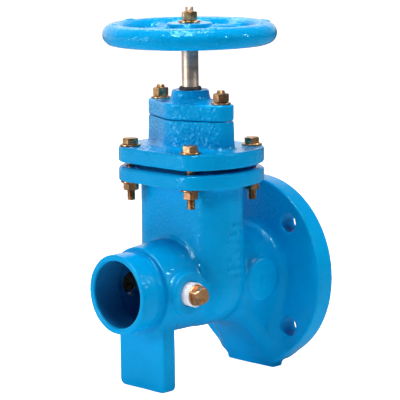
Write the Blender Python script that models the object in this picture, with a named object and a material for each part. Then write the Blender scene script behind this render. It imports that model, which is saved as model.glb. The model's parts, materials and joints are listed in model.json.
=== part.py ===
"""Gate valve, NPS 2 1/2, with a non-rising stem and a resilient wedge.

One end is flanged (+X), the other is grooved for a pipe coupling (-X). The origin is on the stem axis at
the level of the feet, +X runs along the pipe towards the flange and +Z runs up the stem. The valve is shut:
the wedge is at the bottom of its travel.
"""

import math

import bmesh
import bpy
from mathutils import Matrix, Vector

MM = 0.001
GAP = 0.3 * MM  # clearance between pieces that touch on the real valve

# Driving dimensions of the pipe run
PIPE_Z = 92.5 * MM  # height of the pipe axis over the feet
HALF_LENGTH = 95.25 * MM  # half of the end-to-end length
BORE_R = 30.8 * MM
BARREL_R = 42.5 * MM  # outside of the casting round the pipe bore

# Flanged end
FLANGE_R = 88.9 * MM
FLANGE_THICKNESS = 19.0 * MM
FLANGE_BOLT_CIRCLE_R = 69.85 * MM
FLANGE_HOLE_R = 9.5 * MM
FLANGE_FILLET_R = 8.0 * MM

# Grooved end
GROOVE_SEAT_R = 36.5 * MM
GROOVE_SEAT_LENGTH = 19.5 * MM
GROOVE_WIDTH = 7.95 * MM
GROOVE_R = 34.55 * MM
NECK_R = 39.5 * MM  # neck just behind the groove

# Chest: the upright chamber that the wedge moves in
CHEST_HALF_X = 26.0 * MM
CHEST_HALF_Y = 53.5 * MM
CHEST_CORNER_R = 24.0 * MM
CHEST_BOTTOM_R = 41.0 * MM  # depth of the rounded chest bottom under the pipe axis
CHAMBER_R = 36.5 * MM  # U-shaped chamber across the pipe
CHAMBER_HALF_LOW = 14.8 * MM  # half of the chamber's width at its bottom and top
CHAMBER_HALF_TOP = 20.0 * MM
GUIDE_SLOT_HALF_X = 7.5 * MM
GUIDE_SLOT_HALF_Y = 43.5 * MM
GUIDE_SLOT_LOW = PIPE_Z - 8.0 * MM

# Bolted joint between body and bonnet
BODY_FLANGE_LOW = 186.5 * MM
BODY_FLANGE_TOP = 201.0 * MM
BONNET_FLANGE_LOW = 203.9 * MM
BONNET_FLANGE_TOP = 218.3 * MM
BOLT_X = 39.0 * MM
BOLT_Y = 40.0 * MM
BOLT_CORNER_R = 11.5 * MM  # the corners of both flanges run round the bolts
GASKET = (32.0 * MM, 49.0 * MM, 12.0 * MM)  # half sizes in X and Y, and corner radius
GASKET_WINDOW = (23.0 * MM, 45.0 * MM, 8.0 * MM)

# Bonnet tower and gland plate share one two-bolt outline
TOWER_TOP = 244.0 * MM
TOWER_R = 27.0 * MM
EAR_R = 11.4 * MM
EAR_Y = 40.0 * MM
PLATE_LOW = 244.6 * MM
PLATE_TOP = 259.3 * MM
GLAND_HUB_TOP = 270.3 * MM
GLAND_HUB_R = 16.5 * MM
GLAND_BASE_R = 20.8 * MM
SEAL_GROOVE = (17.0 * MM, 20.0 * MM, 2.6 * MM)  # inner and outer radius, and depth, under the plate
RING_GROOVE_DEPTH = 2.8 * MM
RING_GROOVE_WIDTH = 3.4 * MM
WIPER_SEAT_R = 10.7 * MM
WIPER_SEAT_DEPTH = 3.5 * MM
WIPER_HEIGHT = 3.0 * MM  # over the hub
BONNET_POCKET = (17.0 * MM, 21.0 * MM)  # half sizes in X and Y
BONNET_POCKET_TOP = 221.0 * MM
STUD_HOLE_DEPTH = 17.0 * MM
COLLAR_RECESS_LOW = 235.5 * MM
COLLAR_RECESS_R = 14.5 * MM
BUSHING_R = 10.0 * MM

# Stem
STEM_R = 7.8 * MM
STEM_BORE_R = 8.4 * MM
STEM_LOW = 128.5 * MM
STEM_SHOULDER = 314.7 * MM
STEM_SQUARE = 11.0 * MM
STEM_TOP = 346.1 * MM
COLLAR_R = 13.9 * MM
COLLAR_LOW = 237.6 * MM
COLLAR_TOP = 242.5 * MM

# Handwheel
WHEEL_Z = 321.8 * MM
WHEEL_R = 79.8 * MM
RIM_TUBE_R = 9.75 * MM
HUB_R = 20.8 * MM
HUB_LOW = 315.0 * MM
HUB_TOP = 331.4 * MM
HUB_FOOT_R = 13.5 * MM
HUB_WAIST_R = 15.5 * MM
SPOKES = 5
SPOKE_ANGLE = math.radians(2.0)
SPOKE_WIDTH = 13.0 * MM
SPOKE_THICKNESS = 8.5 * MM
SPOKE_RISE = 4.0 * MM  # from the rim to the hub
SPOKE_START_R = 12.0 * MM
SPOKE_SIDES = 10

# M8 hardware
THREAD_R = 3.95 * MM
CLEAR_HOLE_R = 4.5 * MM
HEX_FLATS = 13.0 * MM
BOLT_HEAD = 5.5 * MM
NUT_HEIGHT = 6.8 * MM
TALL_NUT_HEIGHT = 8.0 * MM
WASHER_R = 9.6 * MM
GLAND_WASHER_R = 9.0 * MM
WHEEL_WASHER_R = 10.0 * MM
WASHER_BORE_R = 4.3 * MM
WASHER_THICKNESS = 1.6 * MM
BOLT_END = 168.2 * MM
STUD_REACH = 2.6 * MM  # past the gland nut
HEAD_TURNS = (13.4, 19.4, 41.0, 0.4)  # degrees, in the order of bolt_places
NUT_TURNS = (12.0, 11.0, 27.0, -0.6)
GLAND_NUT_TURNS = (-2.6, 0.0)
WHEEL_NUT_TURN = 29.0

# Wedge, shut
WEDGE_R = 35.6 * MM
RUBBER = 2.0 * MM
WEDGE_TOP = 131.0 * MM
STEM_HOLE_R = 9.0 * MM
NUT_POCKET_LOW = 133.0 * MM
NUT_POCKET_TOP = 141.0 * MM
HEAD_TOP = 146.0 * MM
WEDGE_HEAD = (12.0 * MM, 15.0 * MM)  # half sizes in X and Y
NUT_POCKET = (15.0 * MM, 10.3 * MM)
WEDGE_NUT = (11.0 * MM, 10.0 * MM)
LUG = (3.8 * MM, 41.0 * MM)
LUG_LOW = PIPE_Z - 5.0 * MM
LUG_TOP = 125.0 * MM
SHOE_HALF_X = 7.0 * MM
SHOE_FAR_Y = 43.0 * MM
SHOE_LOW = PIPE_Z - 7.0 * MM
SHOE_TOP = 127.0 * MM

# Tapped bosses on the sides of the barrel
BOSS_X = 46.5 * MM
BOSS_R = 20.0 * MM
BOSS_FACE_Y = 46.0 * MM
PLUG_HOLE_R = 11.5 * MM
PLUG_THREAD_R = 9.4 * MM
TAPE_R = 11.1 * MM
PLUG_INNER_Y = 36.0 * MM
PLUG_THREAD_END_Y = 54.6 * MM
PLUG_END_Y = 62.4 * MM
PLUG_FLATS = 14.0 * MM
PLUG_TURN = math.radians(18.0)

# Supports
LEG_X = (-65.9 * MM, -51.1 * MM)
LEG_HALF_Y = 30.3 * MM
FOOT_X = (74.0 * MM, 88.0 * MM)
FOOT_HALF_Y = 31.0 * MM
FOOT_HEIGHT = 8.0 * MM
GUSSET_X = 38.3 * MM  # where the gusset's sloping front meets the barrel


def clear_scene():
    for item in list(bpy.data.objects):
        bpy.data.objects.remove(item, do_unlink=True)


def paint(name, colour, roughness, metallic):
    material = bpy.data.materials.new(name)
    material.use_nodes = True
    shader = material.node_tree.nodes["Principled BSDF"]
    shader.inputs["Base Color"].default_value = (*colour, 1.0)
    shader.inputs["Roughness"].default_value = roughness
    shader.inputs["Metallic"].default_value = metallic
    material.diffuse_color = (*colour, 1.0)
    return material


def add_object(name, bm, material=None, placement=None):
    """Turns a bmesh into an object. Without a material it is a helper, which isn't rendered."""
    bmesh.ops.remove_doubles(bm, verts=bm.verts, dist=1e-6)
    bmesh.ops.recalc_face_normals(bm, faces=bm.faces)
    mesh = bpy.data.meshes.new(name)
    bm.to_mesh(mesh)
    bm.free()
    mesh.shade_smooth()
    mesh.set_sharp_from_angle(angle=math.radians(35))
    part = bpy.data.objects.new(name, mesh)
    bpy.context.scene.collection.objects.link(part)
    if placement is not None:
        part.matrix_world = placement
    if material is None:
        part.hide_render = True
        part.display_type = "WIRE"
    else:
        mesh.materials.append(material)
    return part


def combine(part, tool, operation):
    modifier = part.modifiers.new(f"{operation.lower()}_{tool.name}", "BOOLEAN")
    modifier.operation = operation
    modifier.object = tool
    return part


def cut(part, *tools):
    for tool in tools:
        combine(part, tool, "DIFFERENCE")


def join(part, *tools):
    for tool in tools:
        combine(part, tool, "UNION")


def lathe(profile, steps=48):
    """A turned solid about Z from (radius, z) points. A profile that ends on the axis is solid, others are rings."""
    bm = bmesh.new()
    points = [bm.verts.new((radius, 0.0, z)) for radius, z in profile]
    on_axis = profile[0][0] == 0 and profile[-1][0] == 0
    pairs = zip(points, points[1:] if on_axis else points[1:] + points[:1])
    edges = [bm.edges.new(pair) for pair in pairs]
    bmesh.ops.spin(bm, geom=points + edges, axis=(0, 0, 1), cent=(0, 0, 0), angle=math.tau, steps=steps)
    return bm


def prism(outline, low, high):
    """An outline in XY, raised from low to high."""
    bm = bmesh.new()
    face = bm.faces.new([bm.verts.new((x, y, low)) for x, y in outline])
    raised = bmesh.ops.extrude_face_region(bm, geom=[face])["geom"]
    top = [item for item in raised if isinstance(item, bmesh.types.BMVert)]
    bmesh.ops.translate(bm, verts=top, vec=(0, 0, high - low))
    return bm


def box(low, high):
    corners = [(low[0], low[1]), (high[0], low[1]), (high[0], high[1]), (low[0], high[1])]
    return prism(corners, low[2], high[2])


def centred_box(half_x, half_y, low, high):
    return box((-half_x, -half_y, low), (half_x, half_y, high))


def hull(circles, steps=48):
    """The outline of a belt stretched round circles, each given as (x, y, radius)."""
    points = set()
    for x, y, radius in circles:
        for step in range(steps):
            angle = math.tau * step / steps
            points.add((round(x + radius * math.cos(angle), 8), round(y + radius * math.sin(angle), 8)))

    def half(ordered):
        chain = []
        for point in ordered:
            while len(chain) > 1 and turn(chain[-2], chain[-1], point) <= 1e-12:
                chain.pop()
            chain.append(point)
        return chain[:-1]

    ordered = sorted(points)
    return half(ordered) + half(ordered[::-1])


def turn(a, b, c):
    return (b[0] - a[0]) * (c[1] - a[1]) - (b[1] - a[1]) * (c[0] - a[0])


def rounded_rectangle(half_x, half_y, radius, steps=24):
    corners = [(sx * (half_x - radius), sy * (half_y - radius), radius) for sx in (-1, 1) for sy in (-1, 1)]
    return hull(corners, steps)


def polygon(sides, flats, start=0.0):
    radius = flats / 2 / math.cos(math.pi / sides)
    angles = [start + math.tau * (step + 0.5) / sides for step in range(sides)]
    return [(radius * math.cos(angle), radius * math.sin(angle)) for angle in angles]


def two_bolt_outline():
    return hull([(0, 0, TOWER_R), (0, EAR_Y, EAR_R), (0, -EAR_Y, EAR_R)], 40)


def bolted_flange_outline():
    """A disc cut off by two sides across the pipe, with corners that run round the bolts."""
    disc_r = math.hypot(BOLT_X, BOLT_Y) + BOLT_CORNER_R
    turned = math.atan2(BOLT_Y, BOLT_X)
    quarter = []
    for step in range(5):
        angle = turned * step / 4
        quarter.append((BOLT_X + BOLT_CORNER_R * math.cos(angle), BOLT_Y + BOLT_CORNER_R * math.sin(angle)))
    for step in range(1, 8):
        angle = turned + (math.pi / 2 - turned) * step / 7
        quarter.append((disc_r * math.cos(angle), disc_r * math.sin(angle)))
    upper = quarter + [(-x, y) for x, y in quarter[-2::-1]]
    return upper + [(-x, -y) for x, y in upper]


def cylinder(radius, low, high, steps=20):
    return lathe([(0, low), (radius, low), (radius, high), (0, high)], steps)


def ring(inner, outer, low, high, steps=16):
    return lathe([(inner, low), (outer, low), (outer, high), (inner, high)], steps)


def torus(major, minor, z, steps=20, sides=6):
    circle = [math.tau * side / sides for side in range(sides)]
    return lathe([(major + minor * math.cos(a), z + minor * math.sin(a)) for a in circle], steps)


# Turns Z-built shapes so that their axis runs along the pipe, or towards -Y or +Y at a boss
ALONG_PIPE = Matrix.Translation((0, 0, PIPE_Z)) @ Matrix.Rotation(math.radians(90), 4, "Y")


def at_boss(side_x, side_y):
    turned = Matrix.Rotation(math.radians(90 if side_y < 0 else -90), 4, "X")
    return Matrix.Translation((side_x * BOSS_X, 0, PIPE_Z)) @ turned


def u_outline(radius, top, width_at, half_y=None):
    """A U across the pipe: a half circle under straight sides in the YZ plane. width_at(z) is its half width."""
    half_y = half_y or radius
    steps = 20
    points = [(half_y, top)]
    for step in range(steps + 1):
        angle = -math.pi * step / steps
        points.append((half_y * math.cos(angle), PIPE_Z + radius * math.sin(angle)))
    points.append((-half_y, top))
    bm = bmesh.new()
    near = [bm.verts.new((-width_at(z), y, z)) for y, z in points]
    far = [bm.verts.new((width_at(z), y, z)) for y, z in points]
    bm.faces.new(near)
    bm.faces.new(far[::-1])
    for index, point in enumerate(near):
        after = (index + 1) % len(near)
        bm.faces.new((point, near[after], far[after], far[index]))
    return bm


def chamber_width(z):
    low = PIPE_Z - CHAMBER_R
    share = (z - low) / (BODY_FLANGE_TOP - low)
    return CHAMBER_HALF_LOW + share * (CHAMBER_HALF_TOP - CHAMBER_HALF_LOW)


def barrel_profile():
    """Outside of the pipe run from the grooved face to the flange face, as (radius, x)."""
    seat_end = -HALF_LENGTH + GROOVE_SEAT_LENGTH
    groove_end = seat_end + GROOVE_WIDTH
    flange_back = HALF_LENGTH - FLANGE_THICKNESS
    edge = 1.2 * MM
    profile = [
        (0, -HALF_LENGTH),
        (GROOVE_SEAT_R - edge, -HALF_LENGTH),
        (GROOVE_SEAT_R, -HALF_LENGTH + edge),
        (GROOVE_SEAT_R, seat_end),
        (GROOVE_R, seat_end),
        (GROOVE_R, groove_end),
        (NECK_R - edge, groove_end),
        (NECK_R, groove_end + edge),
        (BARREL_R, -40.0 * MM),
        (BARREL_R, flange_back - FLANGE_FILLET_R),
    ]
    for step in range(1, 5):
        angle = math.radians(90 * step / 4)
        radius = BARREL_R + FLANGE_FILLET_R * (1 - math.cos(angle))
        profile.append((radius, flange_back - FLANGE_FILLET_R * (1 - math.sin(angle))))
    profile += [
        (FLANGE_R - 2 * edge, flange_back),
        (FLANGE_R, flange_back + 2 * edge),
        (FLANGE_R, HALF_LENGTH - edge),
        (FLANGE_R - edge, HALF_LENGTH),
        (0, HALF_LENGTH),
    ]
    return profile


def gusset():
    """Rear foot under the flange, with a sloping front up to the barrel."""
    bm = bmesh.new()
    outline = [
        (FOOT_X[0], 0),
        (FOOT_X[1], 0),
        (FOOT_X[1], PIPE_Z - BARREL_R),
        (GUSSET_X, PIPE_Z - BARREL_R / 2),
        (GUSSET_X, PIPE_Z - 0.95 * BARREL_R),
        (FOOT_X[0], FOOT_HEIGHT),
    ]
    face = bm.faces.new([bm.verts.new((x, -FOOT_HALF_Y, z)) for x, z in outline])
    raised = bmesh.ops.extrude_face_region(bm, geom=[face])["geom"]
    far = [item for item in raised if isinstance(item, bmesh.types.BMVert)]
    bmesh.ops.translate(bm, verts=far, vec=(0, 2 * FOOT_HALF_Y, 0))
    return bm


def make_body(material):
    body = add_object("body", lathe(barrel_profile(), 56), material, ALONG_PIPE)
    chest = add_object(
        "chest",
        prism(
            rounded_rectangle(CHEST_HALF_X, CHEST_HALF_Y + 0.5 * MM, CHEST_CORNER_R, 24),
            PIPE_Z - BARREL_R - 1 * MM,
            BODY_FLANGE_LOW + 5 * MM,
        ),
    )
    chest_side = add_object(
        "chest_side",
        u_outline(CHEST_BOTTOM_R, BODY_FLANGE_TOP, lambda z: CHEST_HALF_X + MM, CHEST_HALF_Y),
    )
    combine(chest, chest_side, "INTERSECT")
    rim = add_object("body_rim", prism(bolted_flange_outline(), BODY_FLANGE_LOW, BODY_FLANGE_TOP))
    leg = add_object(
        "leg",
        box((LEG_X[0], -LEG_HALF_Y, 0), (LEG_X[1], LEG_HALF_Y, PIPE_Z - NECK_R / 2)),
    )
    foot = add_object("foot", gusset())
    join(body, chest, rim, leg, foot)
    for side_x in (-1, 1):
        for side_y in (-1, 1):
            boss = cylinder(BOSS_R, BORE_R + 3 * MM, BOSS_FACE_Y, 24)
            join(body, add_object(f"boss_{side_x}_{side_y}", boss, None, at_boss(side_x, side_y)))

    holes = []
    for side_y in (-1, 1):
        hole = cylinder(PLUG_HOLE_R, BORE_R - 8 * MM, BOSS_FACE_Y + 5 * MM, 28)
        holes.append(add_object(f"tapped_hole_{side_y}", hole, None, at_boss(-1, side_y)))
    reach = HALF_LENGTH + 5 * MM
    bore = add_object("bore", cylinder(BORE_R, -reach, reach, 48), None, ALONG_PIPE)
    chamber = add_object("chamber", u_outline(CHAMBER_R, BODY_FLANGE_TOP + 5 * MM, chamber_width))
    slot_low = (-GUIDE_SLOT_HALF_X, -GUIDE_SLOT_HALF_Y, GUIDE_SLOT_LOW)
    slot_high = (GUIDE_SLOT_HALF_X, GUIDE_SLOT_HALF_Y, BODY_FLANGE_TOP + 6 * MM)
    slots = add_object("slots", box(slot_low, slot_high))
    holes += [bore, chamber, slots]
    for index, (x, y) in enumerate(bolt_places()):
        hole = cylinder(CLEAR_HOLE_R, BODY_FLANGE_LOW - 5 * MM, BODY_FLANGE_TOP + 5 * MM, 16)
        holes.append(add_object(f"body_bolt_hole_{index}", hole, None, Matrix.Translation((x, y, 0))))
    offset = FLANGE_BOLT_CIRCLE_R / math.sqrt(2)
    back = HALF_LENGTH - FLANGE_THICKNESS - 4 * MM
    for side_y in (-1, 1):
        for side_z in (-1, 1):
            place = Matrix.Translation((0, side_y * offset, PIPE_Z + side_z * offset))
            turned = place @ Matrix.Rotation(math.radians(90), 4, "Y")
            hole = cylinder(FLANGE_HOLE_R, back, reach)
            holes.append(add_object(f"flange_hole_{side_y}_{side_z}", hole, None, turned))
    cut(body, *holes)


def bolt_places():
    return [(sx * BOLT_X, sy * BOLT_Y) for sx, sy in ((-1, -1), (1, -1), (1, 1), (-1, 1))]


def make_bonnet(material):
    bonnet = add_object(
        "bonnet", prism(bolted_flange_outline(), BONNET_FLANGE_LOW, BONNET_FLANGE_TOP), material
    )
    tower = add_object("tower", prism(two_bolt_outline(), BONNET_FLANGE_LOW + 5 * MM, TOWER_TOP))
    join(bonnet, tower)
    half_x, half_y = BONNET_POCKET
    pocket_low = (-half_x, -half_y, BONNET_FLANGE_LOW - 5 * MM)
    pocket = add_object("bonnet_pocket", box(pocket_low, (half_x, half_y, BONNET_POCKET_TOP)))
    bushing_bore = add_object("bushing_bore", cylinder(BUSHING_R, BONNET_POCKET_TOP - MM, TOWER_TOP + MM))
    recess = add_object("collar_recess", cylinder(COLLAR_RECESS_R, COLLAR_RECESS_LOW, TOWER_TOP + 5 * MM, 32))
    cut(bonnet, pocket, bushing_bore, recess)
    for index, (x, y) in enumerate(bolt_places()):
        hole = cylinder(CLEAR_HOLE_R, BONNET_FLANGE_LOW - 5 * MM, BONNET_FLANGE_TOP + 5 * MM, 16)
        cut(bonnet, add_object(f"bonnet_bolt_hole_{index}", hole, None, Matrix.Translation((x, y, 0))))
    for side in (-1, 1):
        hole = cylinder(THREAD_R + GAP, TOWER_TOP - STUD_HOLE_DEPTH, TOWER_TOP + 5 * MM, 16)
        place = Matrix.Translation((0, side * EAR_Y, 0))
        cut(bonnet, add_object(f"stud_hole_{side}", hole, None, place))


def make_bonnet_gasket(material):
    low = BODY_FLANGE_TOP + GAP
    high = BONNET_FLANGE_LOW - GAP
    gasket = add_object("bonnet_gasket", prism(rounded_rectangle(*GASKET), low, high), material)
    window = prism(rounded_rectangle(*GASKET_WINDOW), low - MM, high + MM)
    cut(gasket, add_object("gasket_window", window))


def make_gland_plate(material):
    plate = add_object("gland_plate", prism(two_bolt_outline(), PLATE_LOW, PLATE_TOP), material)
    hub_profile = [
        (0, PLATE_LOW + 5 * MM),
        (GLAND_BASE_R, PLATE_LOW + 5 * MM),
        (GLAND_BASE_R, PLATE_TOP),
        (GLAND_HUB_R + 1.5 * MM, PLATE_TOP + 1.5 * MM),
        (GLAND_HUB_R, PLATE_TOP + 5 * MM),
        (GLAND_HUB_R, GLAND_HUB_TOP - MM),
        (GLAND_HUB_R - MM, GLAND_HUB_TOP),
        (0, GLAND_HUB_TOP),
    ]
    join(plate, add_object("gland_hub", lathe(hub_profile, 32)))
    bore_profile = [(0, PLATE_LOW - MM), (STEM_BORE_R, PLATE_LOW - MM)]
    for low in ring_grooves():
        groove_r = STEM_BORE_R + RING_GROOVE_DEPTH
        high = low + RING_GROOVE_WIDTH
        bore_profile += [(STEM_BORE_R, low), (groove_r, low), (groove_r, high), (STEM_BORE_R, high)]
    seat_low = GLAND_HUB_TOP - WIPER_SEAT_DEPTH
    over = GLAND_HUB_TOP + MM
    bore_profile += [(STEM_BORE_R, seat_low), (WIPER_SEAT_R, seat_low), (WIPER_SEAT_R, over), (0, over)]
    inner, outer, depth = SEAL_GROOVE
    seal_groove = ring(inner, outer, PLATE_LOW - MM, PLATE_LOW + depth, 28)
    cut(plate, add_object("gland_bore", lathe(bore_profile, 28)), add_object("seal_groove", seal_groove))
    for side in (-1, 1):
        hole = cylinder(CLEAR_HOLE_R, PLATE_LOW - 5 * MM, PLATE_TOP + 5 * MM, 16)
        cut(plate, add_object(f"plate_hole_{side}", hole, None, Matrix.Translation((0, side * EAR_Y, 0))))


def ring_grooves():
    return PLATE_LOW + 4 * MM, PLATE_LOW + 12 * MM


def make_gland_seals(rubber, polymer):
    inner, outer, depth = SEAL_GROOVE
    minor = 1.1 * MM
    add_object("gland_o_ring", torus((inner + outer) / 2, minor, PLATE_LOW + depth / 2), rubber)
    for number, low in enumerate(ring_grooves(), 1):
        minor = 1.2 * MM
        middle = low + RING_GROOVE_WIDTH / 2
        add_object(f"stem_o_ring_{number}", torus(STEM_R + GAP + minor, minor, middle), rubber)
    low = GLAND_HUB_TOP - WIPER_SEAT_DEPTH + GAP
    lip = GLAND_HUB_TOP + WIPER_HEIGHT
    wiper_r = WIPER_SEAT_R - GAP
    wiper = [
        (STEM_R + GAP, low),
        (wiper_r, low),
        (wiper_r, GLAND_HUB_TOP + 0.4 * MM),
        (wiper_r - 0.5 * MM, lip - 0.6 * MM),
        (wiper_r - 1.2 * MM, lip),
        (STEM_R + GAP, lip),
    ]
    add_object("wiper_ring", lathe(wiper, 24), rubber)
    bushing = ring(STEM_R + GAP, BUSHING_R - GAP, BONNET_POCKET_TOP + GAP, COLLAR_RECESS_LOW)
    add_object("stem_bushing", bushing, polymer)
    inner = STEM_BORE_R
    outer = COLLAR_RECESS_R - GAP
    lower = ring(inner, outer, COLLAR_RECESS_LOW + GAP, COLLAR_LOW - GAP, 24)
    add_object("thrust_washer_lower", lower, polymer)
    upper = ring(inner, outer, COLLAR_TOP + GAP, PLATE_LOW - GAP, 24)
    add_object("thrust_washer_upper", upper, polymer)


def make_gland_fasteners(zinc):
    washer_low = PLATE_TOP + GAP
    nut_low = washer_low + WASHER_THICKNESS + GAP
    nut_high = nut_low + TALL_NUT_HEIGHT
    for number, (side, turned) in enumerate(zip((-1, 1), GLAND_NUT_TURNS), 1):
        place = Matrix.Translation((0, side * EAR_Y, 0))
        stud = lathe(rod_profile(TOWER_TOP - STUD_HOLE_DEPTH + MM, nut_high + STUD_REACH), 12)
        add_object(f"gland_stud_{number}", stud, zinc, place)
        washer = ring(WASHER_BORE_R, GLAND_WASHER_R, washer_low, washer_low + WASHER_THICKNESS)
        add_object(f"gland_washer_{number}", washer, zinc, place)
        add_nut(f"gland_nut_{number}", nut_low, nut_high, zinc, place, math.radians(turned))


def rod_profile(low, high, radius=THREAD_R):
    point = 0.7 * MM
    return [
        (0, low),
        (radius - point, low),
        (radius, low + point),
        (radius, high - point),
        (radius - point, high),
        (0, high),
    ]


def add_nut(name, low, high, material, place, turned=0.0):
    """A hexagon nut: a prism inside the cone that chamfers both its ends, with a clear hole."""
    nut = add_object(name, prism(polygon(6, HEX_FLATS, turned), low, high), material, place)
    corner_r = HEX_FLATS / 2 / math.cos(math.pi / 6)
    flat_r = HEX_FLATS / 2 * 0.96
    drop = (corner_r - flat_r) * math.tan(math.radians(30))
    cone = [
        (0, low - GAP),
        (flat_r - 0.5 * MM, low - GAP),
        (corner_r + 0.05 * MM, low + drop),
        (corner_r + 0.05 * MM, high - drop),
        (flat_r - 0.5 * MM, high + GAP),
        (0, high + GAP),
    ]
    combine(nut, add_object(f"{name}_cone", lathe(cone, 18), None, place), "INTERSECT")
    hole = cylinder(THREAD_R + GAP, low - MM, high + MM, 12)
    cut(nut, add_object(f"{name}_hole", hole, None, place))


def make_bonnet_fasteners(zinc):
    top_washer = BONNET_FLANGE_TOP + GAP
    head_low = top_washer + WASHER_THICKNESS + GAP
    low_washer = BODY_FLANGE_LOW - GAP - WASHER_THICKNESS
    nut_low = low_washer - GAP - NUT_HEIGHT
    for number, ((x, y), head_turn, nut_turn) in enumerate(zip(bolt_places(), HEAD_TURNS, NUT_TURNS), 1):
        place = Matrix.Translation((x, y, 0))
        head = prism(polygon(6, HEX_FLATS, math.radians(head_turn)), head_low, head_low + BOLT_HEAD)
        bolt = add_object(f"bonnet_bolt_{number}", head, zinc, place)
        corner_r = HEX_FLATS / 2 / math.cos(math.pi / 6)
        flat_r = HEX_FLATS / 2 * 0.94
        top = head_low + BOLT_HEAD
        cone = [(0, head_low - MM), (corner_r + MM, head_low - MM), (corner_r + MM, top - 1.4 * MM)]
        cone += [(flat_r, top), (flat_r - MM, top + MM), (0, top + MM)]
        combine(bolt, add_object(f"head_cone_{number}", lathe(cone, 18), None, place), "INTERSECT")
        shank = lathe(rod_profile(BOLT_END, head_low + 2 * MM), 12)
        join(bolt, add_object(f"shank_{number}", shank, None, place))
        for name, low in (("bonnet_bolt_washer", top_washer), ("bonnet_nut_washer", low_washer)):
            washer = ring(WASHER_BORE_R, WASHER_R, low, low + WASHER_THICKNESS)
            add_object(f"{name}_{number}", washer, zinc, place)
        nut_turn = math.radians(nut_turn)
        add_nut(f"bonnet_nut_{number}", nut_low, nut_low + NUT_HEIGHT, zinc, place, nut_turn)


def make_stem(steel, parent):
    point = 0.8 * MM
    shank = [
        (0, STEM_LOW),
        (STEM_R - point, STEM_LOW),
        (STEM_R, STEM_LOW + point),
        (STEM_R, COLLAR_LOW),
        (COLLAR_R, COLLAR_LOW),
        (COLLAR_R, COLLAR_TOP),
        (STEM_R, COLLAR_TOP),
        (STEM_R, STEM_SHOULDER - point),
        (STEM_R - point, STEM_SHOULDER),
        (0, STEM_SHOULDER),
    ]
    stem = add_object("stem", lathe(shank, 28), steel)
    drive = add_object("stem_square", prism(polygon(4, STEM_SQUARE), STEM_SHOULDER - 5 * MM, HUB_TOP - MM))
    tip = add_object("stem_tip", lathe(rod_profile(HUB_TOP - 3 * MM, STEM_TOP), 16))
    join(stem, drive, tip)
    stem.parent = parent


def spoke_shape(end):
    """An oval bar along +X that tapers and falls slightly from the hub to the rim."""
    bm = bmesh.new()
    loops = []
    for radius, z, grow in ((SPOKE_START_R, WHEEL_Z + SPOKE_RISE, 1.15), (end, WHEEL_Z, 1.0)):
        loops.append([])
        for side in range(SPOKE_SIDES):
            angle = math.tau * side / SPOKE_SIDES
            y = grow * SPOKE_WIDTH / 2 * math.cos(angle)
            loops[-1].append(bm.verts.new((radius, y, z + grow * SPOKE_THICKNESS / 2 * math.sin(angle))))
    for index, point in enumerate(loops[0]):
        after = (index + 1) % SPOKE_SIDES
        bm.faces.new((point, loops[0][after], loops[1][after], loops[1][index]))
    bm.faces.new(loops[0])
    bm.faces.new(loops[1][::-1])
    return bm


def make_handwheel(blue, zinc, parent):
    rim = torus(WHEEL_R - RIM_TUBE_R, RIM_TUBE_R, WHEEL_Z, 42, 10)
    wheel = add_object("handwheel", rim, blue)
    hub_profile = [
        (0, HUB_LOW),
        (HUB_FOOT_R, HUB_LOW),
        (HUB_WAIST_R, WHEEL_Z - MM),
        (HUB_R, WHEEL_Z + MM),
        (HUB_R, HUB_TOP - MM),
        (HUB_R - MM, HUB_TOP),
        (0, HUB_TOP),
    ]
    join(wheel, add_object("wheel_hub", lathe(hub_profile, 32)))
    spoke_end = WHEEL_R - RIM_TUBE_R
    for number in range(SPOKES):
        angle = SPOKE_ANGLE + math.tau * number / SPOKES
        spoke = add_object(f"spoke_{number}", spoke_shape(spoke_end), None, Matrix.Rotation(angle, 4, "Z"))
        join(wheel, spoke)
    square_hole = prism(polygon(4, STEM_SQUARE + 2 * GAP), HUB_LOW - MM, HUB_TOP + MM)
    cut(wheel, add_object("wheel_square_hole", square_hole))
    washer_low = HUB_TOP + GAP
    washer = add_object(
        "handwheel_washer",
        ring(WASHER_BORE_R, WHEEL_WASHER_R, washer_low, washer_low + WASHER_THICKNESS),
        zinc,
    )
    nut_low = washer_low + WASHER_THICKNESS + GAP
    turned = math.radians(WHEEL_NUT_TURN)
    add_nut("handwheel_nut", nut_low, nut_low + TALL_NUT_HEIGHT, zinc, Matrix(), turned)
    for part in (wheel, washer, bpy.data.objects["handwheel_nut"]):
        part.parent = parent


def wedge_width(z):
    return chamber_width(z) - GAP


def core_width(z):
    return wedge_width(z) - RUBBER - GAP


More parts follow.
